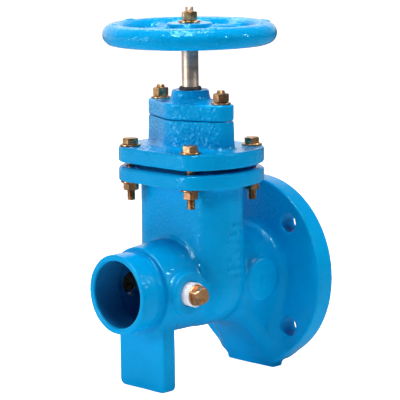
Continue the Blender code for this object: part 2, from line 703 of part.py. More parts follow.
def make_wedge(iron, rubber, bronze, polymer, parent):
    core_r = WEDGE_R - RUBBER - GAP
    core = add_object("wedge_core", u_outline(core_r, WEDGE_TOP, core_width), iron)
    head = add_object("wedge_head", centred_box(*WEDGE_HEAD, WEDGE_TOP - MM, HEAD_TOP))
    lugs = add_object("wedge_lugs", centred_box(*LUG, LUG_LOW, LUG_TOP))
    join(core, head, lugs)
    stem_hole = add_object("wedge_stem_hole", cylinder(STEM_HOLE_R, PIPE_Z - 45 * MM, HEAD_TOP + 5 * MM))
    pocket = add_object("wedge_nut_pocket", centred_box(*NUT_POCKET, NUT_POCKET_LOW, NUT_POCKET_TOP))
    cut(core, stem_hole, pocket)

    shell = add_object("wedge_rubber", u_outline(WEDGE_R, WEDGE_TOP - 3 * MM, wedge_width), rubber)
    hollow = add_object(
        "rubber_hollow", u_outline(core_r + GAP, WEDGE_TOP + 5 * MM, lambda z: core_width(z) + GAP)
    )
    shell_hole = add_object("rubber_stem_hole", cylinder(STEM_HOLE_R, PIPE_Z - 45 * MM, PIPE_Z))
    lug_x, lug_y = LUG[0] + GAP, LUG[1] + GAP
    slot = centred_box(lug_x, WEDGE_R + 5 * MM, LUG_LOW - GAP, WEDGE_TOP + 5 * MM)
    cut(shell, hollow, shell_hole, add_object("rubber_lug_slots", slot))

    nut_shape = centred_box(*WEDGE_NUT, NUT_POCKET_LOW + GAP, NUT_POCKET_TOP - GAP)
    nut = add_object("wedge_nut", nut_shape, bronze)
    cut(nut, add_object("wedge_nut_bore", cylinder(STEM_R + GAP, NUT_POCKET_LOW - MM, NUT_POCKET_TOP + MM)))

    parts = [core, shell, nut]
    for number, side in enumerate((-1, 1), 1):
        near, far = sorted((side * (WEDGE_R + GAP), side * SHOE_FAR_Y))
        shoe_shape = box((-SHOE_HALF_X, near, SHOE_LOW), (SHOE_HALF_X, far, SHOE_TOP))
        shoe = add_object(f"wedge_guide_{number}", shoe_shape, polymer)
        lug_space = centred_box(lug_x, lug_y, LUG_LOW - GAP, LUG_TOP + GAP)
        cut(shoe, add_object(f"lug_space_{number}", lug_space))
        parts.append(shoe)
    for part in parts:
        part.parent = parent


def make_plugs(brass, tape):
    for number, side in enumerate((-1, 1), 1):
        place = at_boss(-1, side)
        body = [
            (0, PLUG_INNER_Y),
            (PLUG_THREAD_R - MM, PLUG_INNER_Y),
            (PLUG_THREAD_R, PLUG_INNER_Y + MM),
            (PLUG_THREAD_R, PLUG_THREAD_END_Y - MM),
            (PLUG_THREAD_R - MM, PLUG_THREAD_END_Y),
            (0, PLUG_THREAD_END_Y),
        ]
        plug = add_object(f"drain_plug_{number}", lathe(body, 20), brass, place)
        turned = PLUG_TURN if side < 0 else -PLUG_TURN
        head = prism(polygon(4, PLUG_FLATS, turned), PLUG_THREAD_END_Y - 2 * MM, PLUG_END_Y)
        head_r = PLUG_FLATS / 2 + 2.2 * MM
        low = PLUG_THREAD_END_Y - 4 * MM
        cone = [(0, low), (head_r, low), (head_r, PLUG_END_Y - 2 * MM)]
        cone += [(head_r - 1.4 * MM, PLUG_END_Y), (0, PLUG_END_Y)]
        square = add_object(f"plug_square_{number}", head, None, place)
        combine(square, add_object(f"plug_cone_{number}", lathe(cone, 16), None, place), "INTERSECT")
        join(plug, square)
        tape_ring = ring(PLUG_THREAD_R + GAP, TAPE_R, PLUG_INNER_Y + 2 * MM, PLUG_THREAD_END_Y - MM)
        add_object(f"thread_tape_{number}", tape_ring, tape, place)


def main():
    clear_scene()
    blue = paint("blue_epoxy", (0.0, 0.28, 0.62), 0.3, 0.0)
    zinc = paint("yellow_zinc", (0.45, 0.28, 0.13), 0.35, 1.0)
    steel = paint("stainless_steel", (0.55, 0.52, 0.48), 0.3, 1.0)
    black = paint("black_rubber", (0.02, 0.02, 0.02), 0.6, 0.0)
    polymer = paint("white_polymer", (0.75, 0.74, 0.7), 0.5, 0.0)
    brass = paint("brass", (0.52, 0.28, 0.13), 0.35, 1.0)
    tape = paint("white_tape", (0.85, 0.85, 0.85), 0.6, 0.0)
    iron = paint("ductile_iron", (0.12, 0.12, 0.13), 0.6, 0.6)

    make_body(blue)
    make_bonnet(blue)
    make_bonnet_gasket(black)
    make_gland_plate(blue)
    make_gland_seals(black, polymer)
    make_gland_fasteners(zinc)
    make_bonnet_fasteners(zinc)
    make_plugs(brass, tape)

    stem_axis = bpy.data.objects.new("stem_axis", None)
    wedge_axis = bpy.data.objects.new("wedge_axis", None)
    for empty in (stem_axis, wedge_axis):
        bpy.context.scene.collection.objects.link(empty)
    make_stem(steel, stem_axis)
    make_handwheel(blue, zinc, stem_axis)
    make_wedge(iron, black, brass, polymer, wedge_axis)


main()
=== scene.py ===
"""Looks of the gate valve: epoxy-coated castings, plated fasteners, a steel stem and brass plugs.

The castings are distance fields in millimetres, turned into meshes on a grid and drawn onto the
exact surface, so that every fillet is real geometry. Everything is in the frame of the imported
model: +X runs along the pipe to the flange, +Z up the stem, and the origin is on the stem axis
under the feet.
"""

import json
import math

import bmesh
import bpy
import numpy as np
from mathutils import Matrix, Vector


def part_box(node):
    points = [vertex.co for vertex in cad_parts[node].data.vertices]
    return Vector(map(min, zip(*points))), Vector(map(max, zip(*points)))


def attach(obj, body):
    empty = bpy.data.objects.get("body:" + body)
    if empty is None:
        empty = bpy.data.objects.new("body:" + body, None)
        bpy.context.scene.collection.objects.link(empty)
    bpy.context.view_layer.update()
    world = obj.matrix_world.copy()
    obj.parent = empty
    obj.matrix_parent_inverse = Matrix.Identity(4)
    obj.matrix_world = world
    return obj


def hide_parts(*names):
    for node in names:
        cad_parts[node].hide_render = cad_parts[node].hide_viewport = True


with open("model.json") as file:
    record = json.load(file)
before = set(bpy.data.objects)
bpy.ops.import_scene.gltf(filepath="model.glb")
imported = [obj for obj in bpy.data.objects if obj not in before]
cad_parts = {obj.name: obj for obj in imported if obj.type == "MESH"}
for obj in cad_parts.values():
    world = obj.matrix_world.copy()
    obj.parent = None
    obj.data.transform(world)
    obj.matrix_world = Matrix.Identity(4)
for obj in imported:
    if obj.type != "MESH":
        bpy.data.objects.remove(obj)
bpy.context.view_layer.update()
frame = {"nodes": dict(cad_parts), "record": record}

MM = 0.001


def node_box(name):
    """Lowest and highest corner of a CAD node, in millimetres."""
    low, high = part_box(name)
    return np.array(low) / MM, np.array(high) / MM


BODY_LOW, BODY_HIGH = node_box("body")
BONNET_LOW, BONNET_HIGH = node_box("bonnet")
PLATE_LOW, PLATE_HIGH = node_box("gland_plate")
WHEEL_LOW, WHEEL_HIGH = node_box("handwheel")

# Pipe run
PIPE_Z = 92.5
HALF_LENGTH = BODY_HIGH[0]
BORE_R = 30.8
BARREL_R = 42.5
FLANGE_R = BODY_HIGH[1]
FLANGE_BACK = HALF_LENGTH - 19.0
FLANGE_HOLE_R = 9.5
FLANGE_HOLE_OFFSET = 69.85 / math.sqrt(2)
SEAT_R = 36.5
SEAT_END = -HALF_LENGTH + 19.5
GROOVE_R = 34.55
GROOVE_END = SEAT_END + 7.95
NECK_R = 39.5

# Chest and the bolted joint
CHEST_X, CHEST_Y, CHEST_CORNER = 27.2, 54.6, 25.0
CHEST_BOTTOM = 41.0
CHAMBER_R = 36.5
CHAMBER_HALF_LOW, CHAMBER_WIDENING = 14.8, 5.2
GUIDE_SLOT_X, GUIDE_SLOT_Y, GUIDE_SLOT_LOW = 7.5, 43.5, PIPE_Z - 8
RIM_LOW, RIM_TOP = 186.5, BODY_HIGH[2]
BOLT_X, BOLT_Y = 39.0, 40.0
BOLT_HOLE_R = 4.5
DISC_R = 67.4
FLAT_X, FLAT_BULGE = 50.5, 1.2
BONNET_FLANGE_TOP = 218.3
BONNET_POCKET_TOP = 221.0
BUSHING_R = 10.0
COLLAR_RECESS_R, COLLAR_RECESS_LOW = 14.5, 235.5
TOWER_R, EAR_R, EAR_Y = 27.0, 11.4, 40.0
TOWER_TOP = BONNET_HIGH[2]
PLATE_TOP = 259.3
HUB_TOP, HUB_TOP_R, HUB_DRAFT = PLATE_HIGH[2], 16.8, 0.16
STEM_BORE_R = 8.4
WIPER_SEAT_R, WIPER_SEAT_DEPTH = 10.7, 3.5

# Stem
STEM_R = 7.8
COLLAR_LOW, COLLAR_TOP, COLLAR_R = 237.6, 242.5, 13.9
WHEEL_SEAT = 314.7
SQUARE_FLATS, SQUARE_TOP = 11.0, 330.4

# Fasteners, which are all M8, and the pipe plugs
THREAD_R, THREAD_PITCH, THREAD_DEPTH = 3.95, 1.25, 0.68
SHANK_R = 3.9
STUD_HOLE_R, STUD_HOLE_DEPTH = 4.25, 17.0
HEX_FLATS, BOLT_HEAD = 13.0, 5.5
NUT_HOLE_R, WASHER_HOLE_R = 4.2, 4.3
HEAD_TURNS = (13.4, 19.4, 41.0, 0.4)  # degrees, from bolt 1 to bolt 4
NUT_TURNS = (12.0, 11.0, 27.0, -0.6)
GLAND_NUT_TURNS = (-2.6, 0.0)
WHEEL_NUT_TURN = 29.0
PLUG_R, PLUG_FLATS, PLUG_TURN, PLUG_SQUARE_LENGTH = 9.4, 14.0, 18.0, 9.4

# Supports and bosses
BOSS_X, BOSS_R, BOSS_Y = 46.5, 20.0, 46.0
PLUG_HOLE_R = 11.5
LEG_X = (-65.9, -51.1)
LEG_Y = 30.3
FOOT_X = (74.0, 88.0)
FOOT_Y = 31.0

# Handwheel
WHEEL_R = WHEEL_HIGH[0]
TUBE_R = 9.75
WHEEL_Z = 321.8
WHEEL_HUB_R = 20.8
WHEEL_HUB_FOOT_R = 14.5
WHEEL_HUB_LOW, WHEEL_HUB_TOP = 315.0, WHEEL_HIGH[2]
SQUARE_HOLE_HALF = 5.8
SPOKES = 5
SPOKE_START = math.radians(2)
SPOKE_RISE = 3.0
SPOKE_HALF_WIDTH, SPOKE_HALF_HEIGHT = 7.5, 4.3
# Raised marks on the rim: place round the rim, half length, and place round the tube, in degrees
RIM_MARKS = ((-117, 2.2, 80), (-60, 4.5, 100), (-30, 7.0, 75), (100, 4.0, 90), (150, 3.0, 90))

# Crease angles above which an edge of a turned or milled piece stays sharp
TURNED_SHARP, MILLED_SHARP = math.radians(32), math.radians(50)


# ---- distance fields, in millimetres


def length(*parts):
    return np.sqrt(sum(part * part for part in parts))


def fillet(a, b, size):
    """Union of two fields with a fillet."""
    share = np.maximum(size - np.abs(a - b), 0) / size
    return np.minimum(a, b) - share * share * (size / 4)


def common(a, b, size):
    return -fillet(-a, -b, size)


def carve(a, b, size=0.8):
    """a without b, with a softened edge."""
    return -fillet(-a, b, size)


def slab(v, low, high):
    return np.maximum(low - v, v - high)


def rounded(a, b, edge):
    """What a and b have in common, with the edge between them rounded to the radius edge."""
    u, v = a + edge, b + edge
    return np.minimum(np.maximum(u, v), 0) + length(np.maximum(u, 0), np.maximum(v, 0)) - edge


def capped(side, v, low, high, edge):
    """A shape with the given side field between two planes, and rounded edges."""
    return rounded(side, slab(v, low, high), edge)


def rounded_rectangle(u, v, half_u, half_v, corner):
    a = np.abs(u) - (half_u - corner)
    b = np.abs(v) - (half_v - corner)
    return np.minimum(np.maximum(a, b), 0) + length(np.maximum(a, 0), np.maximum(b, 0)) - corner


def belt(u, v, circles, directions=96):
    """A belt round circles (u, v, radius): the largest distance past its supporting lines."""
    field = None
    for step in range(directions):
        angle = math.tau * step / directions
        c, s = math.cos(angle), math.sin(angle)
        reach = max(c * cu + s * cv + radius for cu, cv, radius in circles)
        line = u * c + v * s - reach
        field = line if field is None else np.maximum(field, line)
    return field


def bolted_flange(x, y):
    """A disc with two slightly bulging sides cut off across the pipe, and softened corners."""
    sides = np.abs(x) - FLAT_X - FLAT_BULGE * (1 - (y / BOLT_Y) ** 2)
    return common(length(x, y) - DISC_R, sides, 7)


def two_bolt(x, y):
    return belt(x, y, [(0, 0, TOWER_R), (0, EAR_Y, EAR_R), (0, -EAR_Y, EAR_R)])


def chamber_half(z):
    """Half of the chamber's width along the pipe, which grows upwards with the wedge."""
    low = PIPE_Z - CHAMBER_R
    return CHAMBER_HALF_LOW + (z - low) / (RIM_TOP - low) * CHAMBER_WIDENING


def run_field(x, r):
    """The pipe run, r away from its axis: the neck, the barrel and the flange."""
    radius = NECK_R + (BARREL_R - NECK_R) * np.clip((x - GROOVE_END) / (-40 - GROOVE_END), 0, 1)
    run = capped(r - radius, x, GROOVE_END, FLANGE_BACK + 4, 1.2)
    flange = capped(r - FLANGE_R, x, FLANGE_BACK, HALF_LENGTH, 1.8)
    return fillet(run, flange, 10)


def chest_field(x, y, h):
    """The chest, h over the pipe axis: rounded ends and bottom, slightly wider at the seats."""
    below = (length(y / CHEST_Y, h / CHEST_BOTTOM) - 1) * CHEST_BOTTOM
    across = np.where(h < 0, below, np.abs(y) - CHEST_Y)
    half = CHEST_X + np.exp(-((h / 30) ** 2))
    return capped(across, x, -half, half, CHEST_CORNER)


def body_field(x, y, z):
    """The body: solid shapes first, then the grooved end, then the hollows and holes."""
    h = z - PIPE_Z
    r = length(y, h)
    chest = np.maximum(chest_field(x, y, h), z - RIM_TOP + 4)
    body = fillet(run_field(x, r), chest, 4.5)
    rim = capped(bolted_flange(x, y), z, RIM_LOW, RIM_TOP + 9, 1.5)
    body = fillet(body, rounded(rim, z - RIM_TOP + 1.1, 3.2), 5)
    gasket_face = rounded_rectangle(x, y, 32.5, 49.5, 12)
    body = np.minimum(body, np.maximum(gasket_face, slab(z, RIM_TOP - 5, RIM_TOP)))

    for sx in (-1, 1):
        side = length(x - sx * BOSS_X, h) - BOSS_R
        body = fillet(body, capped(side, np.abs(y), 20, BOSS_Y, 2.2), 4)

    leg = rounded_rectangle(y, z - 38, LEG_Y, 38, 6)
    body = fillet(body, capped(leg, x, LEG_X[0], LEG_X[1], 2.4), 6)
    body = fillet(body, gusset_field(x, y, z), 18)
    foot = capped(capped(np.abs(y) - FOOT_Y, x, FOOT_X[0], FOOT_X[1], 3), z, 0, 24, 2.2)
    body = fillet(body, foot, 4)
    body = np.maximum(body, np.maximum(x - HALF_LENGTH, -z))

    groove_core = capped(r - GROOVE_R, x, SEAT_END - 9, GROOVE_END + 5, 0.4)
    body = fillet(body, groove_core, 1.2)
    ring = np.maximum(GROOVE_R - 1 - r, slab(x, SEAT_END, GROOVE_END))
    body = np.maximum(body, -ring)
    body = fillet(body, groove_core, 1.2)
    body = fillet(body, capped(r - SEAT_R, x, -HALF_LENGTH, SEAT_END, 1.3), 1.2)

    chamfer = np.maximum(np.abs(x) - HALF_LENGTH + 1.1, 0)
    relieved = np.where(np.abs(x) < 63, 1.2, 0)
    body = carve(body, r - (BORE_R + chamfer + relieved), 0.6)
    sides = np.where(h < 0, r - CHAMBER_R, np.abs(y) - CHAMBER_R)
    body = carve(body, np.maximum(sides, np.abs(x) - chamber_half(z)), 2)
    slots = np.maximum(np.abs(x) - GUIDE_SLOT_X, np.abs(y) - GUIDE_SLOT_Y)
    body = carve(body, np.maximum(slots, GUIDE_SLOT_LOW - z), 1)
    for sx in (-1, 1):
        for sy in (-1, 1):
            bolt = length(x - sx * BOLT_X, y - sy * BOLT_Y) - BOLT_HOLE_R
            body = carve(body, np.maximum(bolt, RIM_LOW - 4 - z), 0.8)
            across = length(y - sy * FLANGE_HOLE_OFFSET, h - sx * FLANGE_HOLE_OFFSET)
            body = carve(body, np.maximum(across - FLANGE_HOLE_R, FLANGE_BACK - 6 - x), 1.0)
    tapped = length(x + BOSS_X, h) - PLUG_HOLE_R - np.maximum(np.abs(y) - BOSS_Y + 0.9, 0)
    return carve(body, np.maximum(tapped, 22 - np.abs(y)), 0.8)


def gusset_field(x, y, z):
    """The web over the foot, with a sloping front that runs up to the barrel."""
    start = np.array((38.3, PIPE_Z - 0.95 * BARREL_R))
    end = np.array((FOOT_X[0], 8.0))
    along = (end - start) / np.linalg.norm(end - start)
    slope = (x - start[0]) * along[1] - (z - start[1]) * along[0]
    web = common(slope, np.maximum(x - FOOT_X[1], z - PIPE_Z + 10), 3)
    return common(common(web, 12 - z, 4), np.abs(y) - FOOT_Y - 2, 12)


def bonnet_field(x, y, z):
    """The bonnet: the upper flange and the two-bolt tower, hollow for the wedge and the stem."""
    bonnet = capped(bolted_flange(x, y), z, BONNET_LOW[2], BONNET_FLANGE_TOP, 2.1)
    draft = 0.03 * (TOWER_TOP - z)
    tower = capped(two_bolt(x, y) - draft, z, BONNET_LOW[2] + 5, TOWER_TOP, 0.7)
    bonnet = fillet(bonnet, tower, 4.5)
    pocket = np.maximum(rounded_rectangle(x, y, 17, 21, 3), z - BONNET_POCKET_TOP)
    bonnet = carve(bonnet, pocket, 1)
    r = length(x, y)
    bonnet = carve(bonnet, np.maximum(r - BUSHING_R, BONNET_POCKET_TOP - 6 - z), 0.5)
    bonnet = carve(bonnet, np.maximum(r - COLLAR_RECESS_R, COLLAR_RECESS_LOW - z), 0.5)
    for sx in (-1, 1):
        for sy in (-1, 1):
            bolt = length(x - sx * BOLT_X, y - sy * BOLT_Y) - BOLT_HOLE_R
            bonnet = carve(bonnet, bolt, 0.8)
    stud = length(x, np.abs(y) - EAR_Y) - STUD_HOLE_R
    return carve(bonnet, np.maximum(stud, TOWER_TOP - STUD_HOLE_DEPTH - z), 0.6)


def plate_field(x, y, z):
    """The gland plate with its round hub, bored for the stem, the wiper and the studs."""
    r = length(x, y)
    plate = capped(two_bolt(x, y), z, PLATE_LOW[2], PLATE_TOP, 1.6)
    hub_side = r - HUB_TOP_R - HUB_DRAFT * (HUB_TOP - z)
    plate = fillet(plate, capped(hub_side, z, PLATE_LOW[2] + 4, HUB_TOP, 1.3), 6)
    plate = carve(plate, r - STEM_BORE_R, 0.5)
    plate = carve(plate, np.maximum(r - WIPER_SEAT_R, HUB_TOP - WIPER_SEAT_DEPTH - z), 0.5)
    return carve(plate, length(x, np.abs(y) - EAR_Y) - BOLT_HOLE_R, 0.8)


def wheel_field(x, y, z):
    """The handwheel: a round rim, oval spokes that rise to the hub, and a square hole."""
    r = length(x, y)
    wheel = length(r - (WHEEL_R - TUBE_R), z - WHEEL_Z) - TUBE_R
    hub = capped(r - WHEEL_HUB_R, z, WHEEL_Z - 0.5, WHEEL_HUB_TOP, 1.3)
    hub = fillet(hub, capped(r - WHEEL_HUB_FOOT_R, z, WHEEL_HUB_LOW, WHEEL_Z + 4, 1.0), 3)
    for number in range(SPOKES):
        angle = SPOKE_START + math.tau * number / SPOKES
        out = x * math.cos(angle) + y * math.sin(angle)
        across = y * math.cos(angle) - x * math.sin(angle)
        middle = WHEEL_Z + SPOKE_RISE * (1 - np.clip(out / (WHEEL_R - TUBE_R), 0, 1))
        oval = length(across / SPOKE_HALF_WIDTH, (z - middle) / SPOKE_HALF_HEIGHT)
        spoke = (oval - 1) * SPOKE_HALF_HEIGHT
        spoke = np.maximum(spoke, slab(out, 8, WHEEL_R - TUBE_R))
        hub = fillet(hub, spoke, 3)
    wheel = fillet(wheel, hub, 7)
    square = rounded_rectangle(x, y, SQUARE_HOLE_HALF, SQUARE_HOLE_HALF, 0.5)
    return carve(wheel, square, 0.4)


# ---- from fields to meshes


def grid_mesh(field, low, high, step):
    """A field's zero surface as points and quads, by surface nets: one point a crossed cell."""
    start = np.array(low) - 2 * step
    counts = np.ceil((np.array(high) + 2 * step - start) / step).astype(int) + 1
    axes = [(start[a] + step * np.arange(counts[a])).astype(np.float32) for a in range(3)]
    values = field(axes[0][:, None, None], axes[1][None, :, None], axes[2][None, None, :])
    values = np.ascontiguousarray(np.broadcast_to(values, counts), np.float32)
    strides = np.array((counts[1] * counts[2], counts[2], 1), np.int64)
    cells, points, quads = [], [], []
    for axis in range(3):
        first = [slice(None)] * 3
        second = [slice(None)] * 3
        first[axis] = slice(0, -1)
        second[axis] = slice(1, None)
        a, b = values[tuple(first)], values[tuple(second)]
        places = np.argwhere((a < 0) != (b < 0))
        va, vb = a[tuple(places.T)], b[tuple(places.T)]
        crossing = places.astype(np.float64)
        crossing[:, axis] += va / (va - vb)
        u, v = [other for other in range(3) if other != axis]
        if axis == 1:
            u, v = v, u
        corner = places @ strides
        before_u, before_v = corner - strides[u], corner - strides[v]
        around = [before_u - strides[v], before_v, corner, before_u]
        flip = va >= 0
        loop = np.stack(around, 1)
        loop[flip] = loop[flip][:, ::-1]
        quads.append(loop)
        cells += around
        points += [crossing] * 4
    used, index = np.unique(np.concatenate(cells), return_inverse=True)
    points = np.concatenate(points)
    total = np.bincount(index)
    means = np.stack([np.bincount(index, points[:, a]) / total for a in range(3)], 1)
    return means * step + start, np.searchsorted(used, np.concatenate(quads))


def gradient(field, points, reach=0.05):
    x, y, z = points.T
    parts = [
        field(x + reach, y, z) - field(x - reach, y, z),
        field(x, y + reach, z) - field(x, y - reach, z),
        field(x, y, z + reach) - field(x, y, z - reach),
    ]
    return np.stack(parts, 1) / (2 * reach)


def on_surface(field, points, step, rounds=3):
    """Moves points along the field's gradient onto its zero surface."""
    home = points
    for _ in range(rounds):
        slope = gradient(field, points)
        size = np.maximum((slope**2).sum(1), 0.05)
        points = points - slope * (field(*points.T) / size)[:, None]
        shift = points - home
        far = np.maximum(np.linalg.norm(shift, axis=1) / (0.7 * step), 1)
        points = home + shift / far[:, None]
    return points


def unit(vectors):
    return vectors / np.maximum(np.linalg.norm(vectors, axis=1), 1e-9)[:, None]


def lattice_noise(points, size, seed):
    """Smooth noise from -1 to 1, with features about size millimetres across."""
    cells = 32
    table = np.random.default_rng(seed).uniform(-1, 1, (cells,) * 3)
    scaled = points / size
    base = np.floor(scaled).astype(int)
    part = scaled - base
    part = part * part * (3 - 2 * part)
    total = np.zeros(len(points))
    for corner in np.ndindex(2, 2, 2):
        weight = np.prod(np.where(np.array(corner), part, 1 - part), axis=1)
        at = (base + corner) % cells
        total += weight * table[at[:, 0], at[:, 1], at[:, 2]]
    return total


def casting(name, field, low, high, step, most_faces, relief):
    """A cast piece: its field's surface with relief(points, normals) raised along the normals."""
    points, quads = grid_mesh(field, low, high, step)
    points = on_surface(field, points, step)
    normals = unit(gradient(field, points))
    points = points + normals * relief(points, normals)[:, None]
    mesh = bpy.data.meshes.new(name)
    mesh.from_pydata((points * MM).tolist(), [], quads.tolist())
    mesh.validate()
    mesh.shade_smooth()
    piece = bpy.data.objects.new(name, mesh)
    bpy.context.scene.collection.objects.link(piece)
    faces = 2 * len(quads)
    if faces > most_faces:
        thin = piece.modifiers.new("thin", "DECIMATE")
        thin.ratio = most_faces / faces
        apply_modifiers(piece)
        piece.data.shade_smooth()
    return piece


def apply_modifiers(piece):
    graph = bpy.context.evaluated_depsgraph_get()
    graph.update()
    finished = bpy.data.meshes.new_from_object(piece.evaluated_get(graph))
    piece.modifiers.clear()
    piece.data = finished


# ---- turned and hexagonal pieces


def add_piece(name, bm):
    bmesh.ops.remove_doubles(bm, verts=bm.verts, dist=1e-4)
    bmesh.ops.recalc_face_normals(bm, faces=bm.faces)
    bmesh.ops.scale(bm, vec=(MM, MM, MM), verts=bm.verts)
    mesh = bpy.data.meshes.new(name)
    bm.to_mesh(mesh)
    bm.free()
    mesh.shade_smooth()
    mesh.set_sharp_from_angle(angle=TURNED_SHARP)
    piece = bpy.data.objects.new(name, mesh)
    bpy.context.scene.collection.objects.link(piece)
    return piece


def lathe(profile, steps):
    """A turned solid about Z, from a profile of (radius, z).

    A profile that starts and ends on the axis gives a solid, and any other gives a ring.
    """
    bm = bmesh.new()
    points = [bm.verts.new((radius, 0.0, z)) for radius, z in profile]
    on_axis = profile[0][0] == 0 and profile[-1][0] == 0
    pairs = zip(points, points[1:] if on_axis else points[1:] + points[:1])
    edges = [bm.edges.new(pair) for pair in pairs]
    bmesh.ops.spin(
        bm,
        geom=points + edges,
        axis=(0, 0, 1),
        cent=(0, 0, 0),
        angle=math.tau,
        steps=steps,
    )
    return bm


def stitch(bm, loops, closed):
    """Quads between loops of vertices.

    The last loop meets the first if closed is true. If not, both ends are flat.
    """
    for a, b in zip(loops, loops[1:] + (loops[:1] if closed else [])):
        for k in range(len(a)):
            after = (k + 1) % len(a)
            bm.faces.new((a[k], a[after], b[after], b[k]))
    if not closed:
        bm.faces.new(loops[0][::-1])
        bm.faces.new(loops[-1])


def ringed(rings, closed, steps):
    """A solid from rings round Z, each a function of the angle that gives (radius, z)."""
    bm = bmesh.new()
    loops = []
    for ring in rings:
        loops.append([])
        for step in range(steps):
            angle = math.tau * step / steps
            radius, z = ring(angle)
            place = (radius * math.cos(angle), radius * math.sin(angle), z)
            loops[-1].append(bm.verts.new(place))
    stitch(bm, loops, closed)
    return bm


def circle(radius, z):
    """A plain ring for ringed."""
    return lambda angle: (radius, z)


def thread(profile, low, high):
    """A turned solid whose stretch from low to high carries an M8 thread.

    profile holds the plain (radius, z) points below the thread. The tip at high is chamfered.
    """
    rows = max(8, int((high - low) / THREAD_PITCH * 8))
    run_out, chamfer = 0.6 * THREAD_PITCH, 0.8

    def threaded(z):
        fade = min(1, (z - low) / run_out)
        tip = THREAD_DEPTH * max(0, 1 - (high - z) / chamfer)

        def ring(angle):
            turn = (z / THREAD_PITCH - angle / math.tau) % 1
            valley = max(0, 1 - abs(turn - 0.5) / 0.42) ** 0.8
            return THREAD_R - max(THREAD_DEPTH * fade * valley, tip), z

        return ring

    rings = [circle(radius, z) for radius, z in profile]
    rings += [threaded(low + (high - low) * row / rows) for row in range(rows + 1)]
    return ringed(rings, False, 36)


def prism(outline, low, high):
    """An upright solid on an outline of (x, y)."""
    bm = bmesh.new()
    face = bm.faces.new([bm.verts.new((x, y, low)) for x, y in outline])
    raised = bmesh.ops.extrude_face_region(bm, geom=[face])["geom"]
    top = [item for item in raised if isinstance(item, bmesh.types.BMVert)]
    bmesh.ops.translate(bm, verts=top, vec=(0, 0, high - low))
    return bm


def regular(sides, flats):
    """The corners of a regular polygon with a flat towards +X."""
    radius = flats / 2 / math.cos(math.pi / sides)
    angles = [math.tau * (step + 0.5) / sides for step in range(sides)]
    return [(radius * math.cos(angle), radius * math.sin(angle)) for angle in angles]


def join(piece, other):
    """Adds another piece's closed shell to this one."""
    bm = bmesh.new()
    bm.from_mesh(piece.data)
    bm.from_mesh(other.data)
    bm.to_mesh(piece.data)
    bm.free()
    bpy.data.objects.remove(other)
    piece.data.shade_smooth()
    piece.data.set_sharp_from_angle(angle=TURNED_SHARP)


def polygon_radius(sides, flats, angle, corner_r):
    """The radius at an angle of a polygon with a flat at angle 0 and corners cut at corner_r."""
    half_side = math.pi / sides
    off = (angle + half_side) % (2 * half_side) - half_side
    return min(flats / 2 / math.cos(off), corner_r)


def soften(piece, width):
    """Rounds the sharp edges by width millimetres."""
    bevel = piece.modifiers.new("soften", "BEVEL")
    bevel.width = width * MM
    bevel.segments = 2
    bevel.limit_method = "ANGLE"
    bevel.angle_limit = math.radians(28)
    apply_modifiers(piece)
    piece.data.shade_smooth()
    piece.data.set_sharp_from_angle(angle=MILLED_SHARP)


def hexagon(name, low, high, turned, hole_r=0.0):
    """A hexagon, its corners cut by a cone: a bolt's head, or a nut if it has a hole."""
    flat_r = HEX_FLATS / 2 * 0.95
    corner_r = HEX_FLATS / 2 / math.cos(math.pi / 6) - 0.1
    slope = math.tan(math.radians(34))

    def outline(z, inwards):
        """The hexagon at z, with its corners lower (-1), higher (1) or level (0)."""

        def ring(angle):
            radius = polygon_radius(6, HEX_FLATS, angle, corner_r)
            return radius, z + inwards * (radius - flat_r) * slope

        return ring

    top = [outline(high, -1), circle(flat_r, high)]
    if hole_r:
        sink = 0.6
        bottom = [circle(flat_r, low), outline(low, 1)]
        top += [circle(hole_r + sink, high), circle(hole_r, high - sink)]
        top += [circle(hole_r, low + sink), circle(hole_r + sink, low)]
    else:
        bottom = [outline(low, 0)]
    bm = ringed(bottom + top, bool(hole_r), 144)
    bmesh.ops.rotate(bm, verts=bm.verts, matrix=Matrix.Rotation(turned, 3, "Z"))
    return add_piece(name, bm)


def move_to(piece, low, high):
    """Moves a piece built round the Z axis to the middle of its node's box."""
    x, y = (low + high)[:2] / 2
    piece.data.transform(Matrix.Translation((x * MM, y * MM, 0)))
    return piece


def finish_piece(piece, node, body, material):
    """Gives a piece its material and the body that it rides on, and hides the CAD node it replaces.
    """
    piece.data.materials.clear()
    piece.data.materials.append(material)
    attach(piece, body)
    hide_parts(node)
    return piece


def washer(name, node, material):
    low, high = node_box(node)
    outer = (high[0] - low[0]) / 2
    inner, edge = WASHER_HOLE_R, 0.45
    profile = [
        (inner, low[2] + 0.2),
        (inner + 0.2, low[2]),
        (outer - edge, low[2]),
        (outer - 0.1, low[2] + 0.15),
        (outer, low[2] + edge),
        (outer, high[2] - edge),
        (outer - 0.14, high[2] - 0.14),
        (outer - edge, high[2]),
        (inner + 0.2, high[2]),
        (inner, high[2] - 0.2),
    ]
    piece = move_to(add_piece(name, lathe(profile, 72)), low, high)
    return finish_piece(piece, node, body_of(node), material)


def body_of(node):
    """The body that a CAD node belongs to."""
    bodies = frame["record"]["behaviour"]["bodies"]
    return next(name for name, members in bodies.items() if node in members)


def nut(name, node, turned, material):
    low, high = node_box(node)
    piece = move_to(hexagon(name, low[2], high[2], turned, NUT_HOLE_R), low, high)
    return finish_piece(piece, node, body_of(node), material)


def bonnet_bolt(name, node, turned, material):
    """A hexagon bolt, head up. Its end under the nut is threaded."""
    low, high = node_box(node)
    shank = [(SHANK_R, 1 - high[2]), (SHANK_R, -low[2] - 30), (3.55, -low[2] - 29)]
    bm = thread(shank, -low[2] - 28, -low[2])
    bmesh.ops.scale(bm, vec=(1, 1, -1), verts=bm.verts)
    piece = add_piece(name, bm)
    join(piece, hexagon("head", high[2] - BOLT_HEAD, high[2], turned))
    move_to(piece, low, high)
    return finish_piece(piece, node, body_of(node), material)


